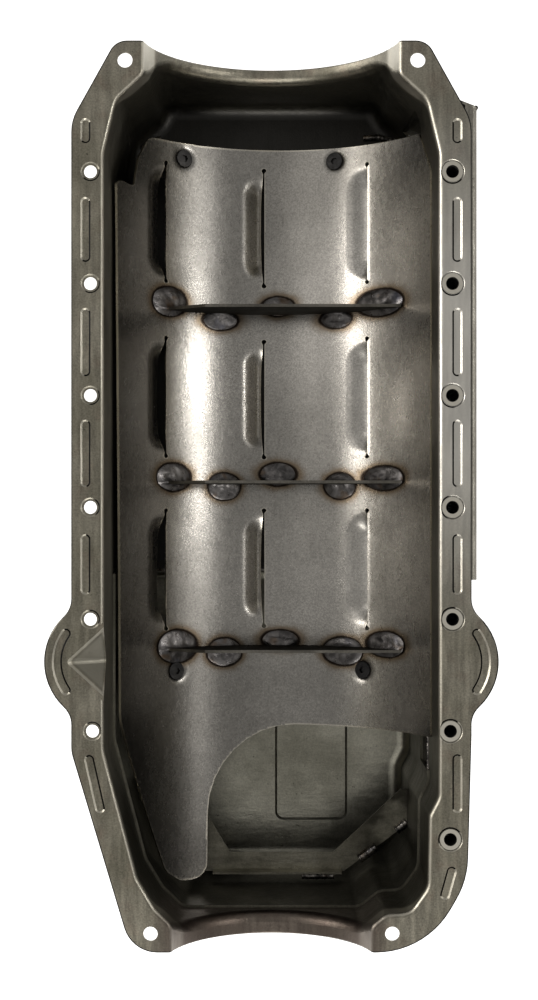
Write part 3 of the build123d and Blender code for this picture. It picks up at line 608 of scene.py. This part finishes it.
places, flat_faces, rim_count = build_tray()
drops = [pressed(u, y) for u, y in places]
verts = [wrapped(u, y, tray_r + drop) for (u, y), drop in zip(places, drops)]
verts += [wrapped(u, y, tray_r + tray_sheet + drop) for (u, y), drop in zip(places, drops)]
total = len(places)
faces, rims = [], {}
for a, b, c in flat_faces:
    (ua, ya), (ub, yb), (uc, yc) = places[a], places[b], places[c]
    if (ub - ua) * (yc - ya) - (uc - ua) * (yb - ya) < 0:
        b, c = c, b
    faces.append((a, b, c))
    faces.append((a + total, c + total, b + total))
    for edge in ((a, b), (b, c), (c, a)):
        rims[edge] = rims.get(edge, 0) + 1
for a, b in rims:
    if (b, a) not in rims:
        faces.append((b, a, a + total, b + total))
tray_skin = mesh_piece("windage_tray_skin", verts, faces, tray_steel, "tray_steel")
tray_skin.data.set_sharp_from_angle(angle=radians(50))
heats = [heat_at(u, y) for u, y in places]
cuts = [1.0 if i < rim_count else 0.0 for i in range(total)]
for mark, values in (("weld_heat", heats * 2), ("cut_edge", cuts * 2)):
    tray_skin.data.attributes.new(mark, "FLOAT", "POINT")
    tray_skin.data.attributes[mark].data.foreach_set("value", values)
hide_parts("windage_tray")


# Weld puddles, low mounds that the plate stands in

def puddle_mesh(u0, y0, plate_y, half_u, half_y, seed):
    """Points and faces of one puddle, open below, where it is sunk in the tray."""
    rings, sectors = 22, 56
    verts, faces = [], []
    for ring_index in range(rings):
        out = (ring_index + 1) / rings
        for sector in range(sectors):
            turn = 2 * pi * sector / sectors
            edge = 1.0 + 0.05 * noise.noise(Vector((cos(turn) * 1.6, sin(turn) * 1.6, seed * 3.1)))
            du, dy = out * cos(turn) * edge, out * sin(turn) * edge
            y = y0 + dy * half_y
            dome = puddle_height * (1.0 - out ** 2.6) ** 0.7
            ripple = 0.035 * sin(20.0 * hypot(du + 0.5, dy * 0.6) + seed) * (1 - out ** 6)
            lump = 0.5 * noise.noise(Vector((du * 2.4 + seed, dy * 2.4, seed))) * (1 - out ** 3)
            climb = puddle_climb * exp(-abs(y - plate_y) / 2.0) * (1 - out ** 4)
            rise = dome + ripple + lump + climb - puddle_sink
            verts.append(wrapped(u0 + du * half_u, y, tray_r - rise))
    faces.append(tuple(range(sectors)))
    for ring_index in range(rings - 1):
        for sector in range(sectors):
            a = ring_index * sectors + sector
            b = ring_index * sectors + (sector + 1) % sectors
            faces.append((a, a + sectors, b + sectors, b))
    return verts, faces


def joined(parts):
    """One list of points and faces from several."""
    verts, faces = [], []
    for more, quads in parts:
        start = len(verts)
        verts += more
        faces += [tuple(start + i for i in quad) for quad in quads]
    return verts, faces


for name in plate_welds:
    parts = [puddle_mesh(u0, y0, plate_y, half_u, half_y, 1.0 + index * 1.7)
             for index, (plate, u0, plate_y, y0, half_u, half_y) in enumerate(puddles) if plate == name]
    mesh_piece(f"plate_weld_{name}", *joined(parts), puddle_metal, "tray_steel")


def bead_tube(points, radius, closed, seed):
    """Rippled weld bead of round section along a path."""
    step, pitch, sides = 0.7, 2.4, 8
    pts = [Vector(p) for p in points]
    if closed:
        pts.append(pts[0])
    path = []
    for a, b in zip(pts, pts[1:]):
        count = max(1, int((b - a).length / step))
        path += [a.lerp(b, i / count) for i in range(count)]
    if not closed:
        path.append(pts[-1])
    verts, faces = [], []
    for i, p in enumerate(path):
        before = path[i - 1] if (i or closed) else p
        after = path[(i + 1) % len(path)] if (i + 1 < len(path) or closed) else p
        along = (after - before).normalized()
        side = along.cross(Vector((0.31, 0.27, 0.91))).normalized()
        up = side.cross(along)
        phase = (i * step / pitch) % 1.0
        size = radius * (0.86 + 0.2 * (1 - phase) ** 0.5
                         + 0.14 * noise.noise(Vector((i * step * 0.05, seed, 0.0))))
        verts += [p + (side * cos(2 * pi * k / sides) + up * sin(2 * pi * k / sides)) * size
                  for k in range(sides)]
    loops = len(path) if closed else len(path) - 1
    for i in range(loops):
        j = (i + 1) % len(path)
        for k in range(sides):
            m = (k + 1) % sides
            faces.append((i * sides + k, i * sides + m, j * sides + m, j * sides + k))
    if not closed:
        faces.append(tuple(range(sides))[::-1])
        faces.append(tuple((len(path) - 1) * sides + k for k in range(sides)))
    return verts, faces


def weld_piece(name, runs):
    """One object of several weld runs: (points, radius, closed)."""
    parts = [bead_tube(points, radius, closed, count * 2.7)
             for count, (points, radius, closed) in enumerate(runs)]
    mesh_piece(name, *joined(parts), bead_metal, "pan_steel")


def at_height(line, z, outset=0.0):
    """Plan line at one height, pushed outwards from the pan's middle by about outset."""
    middle = Vector((0.0, -200.0))
    out = []
    for x, y in line:
        away = Vector((x, y)) - middle
        out.append((x + away.x / away.length * outset, y + away.y / away.length * outset, z))
    return out


sump_plan = rounded_line(sump_line, closed=False)
weld_piece("sump_skirt_weld", [(at_height(sump_plan, shell_skirt_z - 0.2, 0.3), 1.5, False)])
weld_piece("sump_floor_weld", [(at_height(sump_plan, dish_top_z), 0.9, True)])
side_x = -wall_x - 0.4
seam_y, seam_z = sump_front_y + 0.3, front_floor_z - 1.5
weld_piece("sump_front_weld", [
    ([(side_x, sump_front_y, shell_skirt_z), (side_x, sump_front_y, front_floor_z)], 1.5, False),
    ([(-wall_x, seam_y, seam_z), (wall_x, seam_y, seam_z)], 1.8, False)])


# Welds outside and in the corners
weld_piece("kickout_welds", [
    ([(kick_front_x, kick_front_y, -4), (kick_front_x, kick_front_y, -kick_wall_depth),
      (wall_x + 2, kick_front_y + 8.5, -kick_floor_depth + 1)], 1.3, False),
    ([(kick_rear_x, kick_rear_y, -4), (kick_rear_x, kick_rear_y, -kick_wall_depth),
      (wall_x + 1, kick_rear_y, -kick_floor_depth + 1)], 1.3, False),
])
shelf_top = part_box("sump_shelf")[1][2] / mm
weld_piece("shelf_welds", [
    ([(20, -304.2, shelf_top - 1), (41, -304.2, shelf_top - 1)], 1.8, False),
    ([(82, -276, shelf_z + 1), (89, -270.5, shelf_z + 1)], 2.8, False),
    ([(58, -294.6, shelf_z + 1), (69, -286.8, shelf_z + 1)], 2.8, False),
])
weld_piece("front_corner_welds", [
    ([(60, 176.5, -117), (70, 177, -116.4), (82, 174, -116.6)], 1.9, False),
    ([(-84, 170, -116.6), (-78, 174.5, -116.4), (-72, 176.5, -117)], 1.7, False),
])


# Studio

def area_light(name, place, target, size, power, colour):
    """Rectangular lamp at a place, turned to a target."""
    data = bpy.data.lights.new(name, "AREA")
    data.shape = "RECTANGLE"
    data.size, data.size_y = size
    data.energy = power
    data.color = colour
    lamp = bpy.data.objects.new(name, data)
    bpy.context.collection.objects.link(lamp)
    lamp.location = place
    lamp.rotation_euler = (Vector(target) - Vector(place)).to_track_quat("-Z", "Y").to_euler()


area_light("key_right", (1.02, 0.11, 0.80), (0.0, 0.0, -0.08), (0.20, 0.16), 2.2, (1.0, 0.985, 0.95))
area_light("soft_right", (1.0, 0.08, 0.85), (0.0, -0.02, -0.05), (1.2, 0.30), 1.5, (1.0, 0.98, 0.95))
area_light("fill_left", (-1.40, 0.30, 0.50), (0.0, 0.0, -0.05), (0.75, 0.9), 14.0, (1.0, 0.965, 0.92))
area_light("high_left", (-0.75, 0.38, 1.15), (0.0, 0.0, -0.05), (0.75, 0.9), 1.1, (1.0, 0.97, 0.93))
area_light("fill_rear", (0.0, -1.3, 0.9), (0.0, 0.1, -0.08), (1.0, 0.4), 11.0, (1.0, 0.98, 0.94))


def backdrop_material():
    """Pale floor that reads as plain white and keeps the pan's shadow."""
    g = Graph("pale_floor")
    seen = g.node("LightPath")
    straight = g.math("MAXIMUM", seen.outputs["Is Camera Ray"],
                      g.math("MAXIMUM", seen.outputs["Is Glossy Ray"],
                             seen.outputs["Is Transmission Ray"]))
    cloth = g.node("BsdfDiffuse", {"Color": (0.82, 0.82, 0.81)})
    glow = g.node("Emission", {"Color": (1.0, 1.0, 1.0), "Strength": 0.82})
    both = g.node("AddShader", {0: cloth.outputs[0], 1: glow.outputs[0]})
    mixed = g.node("MixShader", {0: straight, 1: cloth.outputs[0], 2: both.outputs[0]})
    return g.finish(mixed.outputs[0])


bpy.ops.mesh.primitive_plane_add(size=12.0, location=(0, 0, cad_box[0][2] - 0.0005))
floor = bpy.context.object
floor.name = "studio_floor"
floor.data.materials.append(backdrop_material())


def studio_world():
    """White to the camera, a soft grey room to shiny metal, dim to everything else."""
    world = bpy.data.worlds.new("studio")
    bpy.context.scene.world = world
    world.use_nodes = True
    tree = world.node_tree
    tree.nodes.clear()
    rays = tree.nodes.new("ShaderNodeLightPath")
    shiny = tree.nodes.new("ShaderNodeMath")
    shiny.operation = "MAXIMUM"
    tree.links.new(rays.outputs["Is Glossy Ray"], shiny.inputs[0])
    tree.links.new(rays.outputs["Is Transmission Ray"], shiny.inputs[1])
    shader = None
    layers = ((None, 0.30, (1.0, 0.99, 0.97)), (shiny.outputs[0], 0.40, (1.0, 0.985, 0.95)),
              (rays.outputs["Is Camera Ray"], 1.0, (1.0, 1.0, 1.0)))
    for factor, level, colour in layers:
        layer = tree.nodes.new("ShaderNodeBackground")
        layer.inputs["Color"].default_value = (*colour, 1.0)
        layer.inputs["Strength"].default_value = level
        if factor is None:
            shader = layer.outputs[0]
            continue
        blend = tree.nodes.new("ShaderNodeMixShader")
        tree.links.new(factor, blend.inputs[0])
        tree.links.new(shader, blend.inputs[1])
        tree.links.new(layer.outputs[0], blend.inputs[2])
        shader = blend.outputs[0]
    out = tree.nodes.new("ShaderNodeOutputWorld")
    tree.links.new(shader, out.inputs["Surface"])


studio_world()

# Camera: straight down over the pan
lens = bpy.data.cameras.new("view")
lens.lens = 56.16
lens.sensor_width = 36.0
lens.shift_y = 0.015
lens.clip_start = 0.05
lens.clip_end = 30.0
camera = bpy.data.objects.new("view", lens)
bpy.context.collection.objects.link(camera)
camera.location = (-0.00138, -0.0690, 0.900)
camera.rotation_euler = (0.0, 0.0, 0.0)
scene = bpy.context.scene
scene.camera = camera
scene.view_settings.view_transform = "Standard"
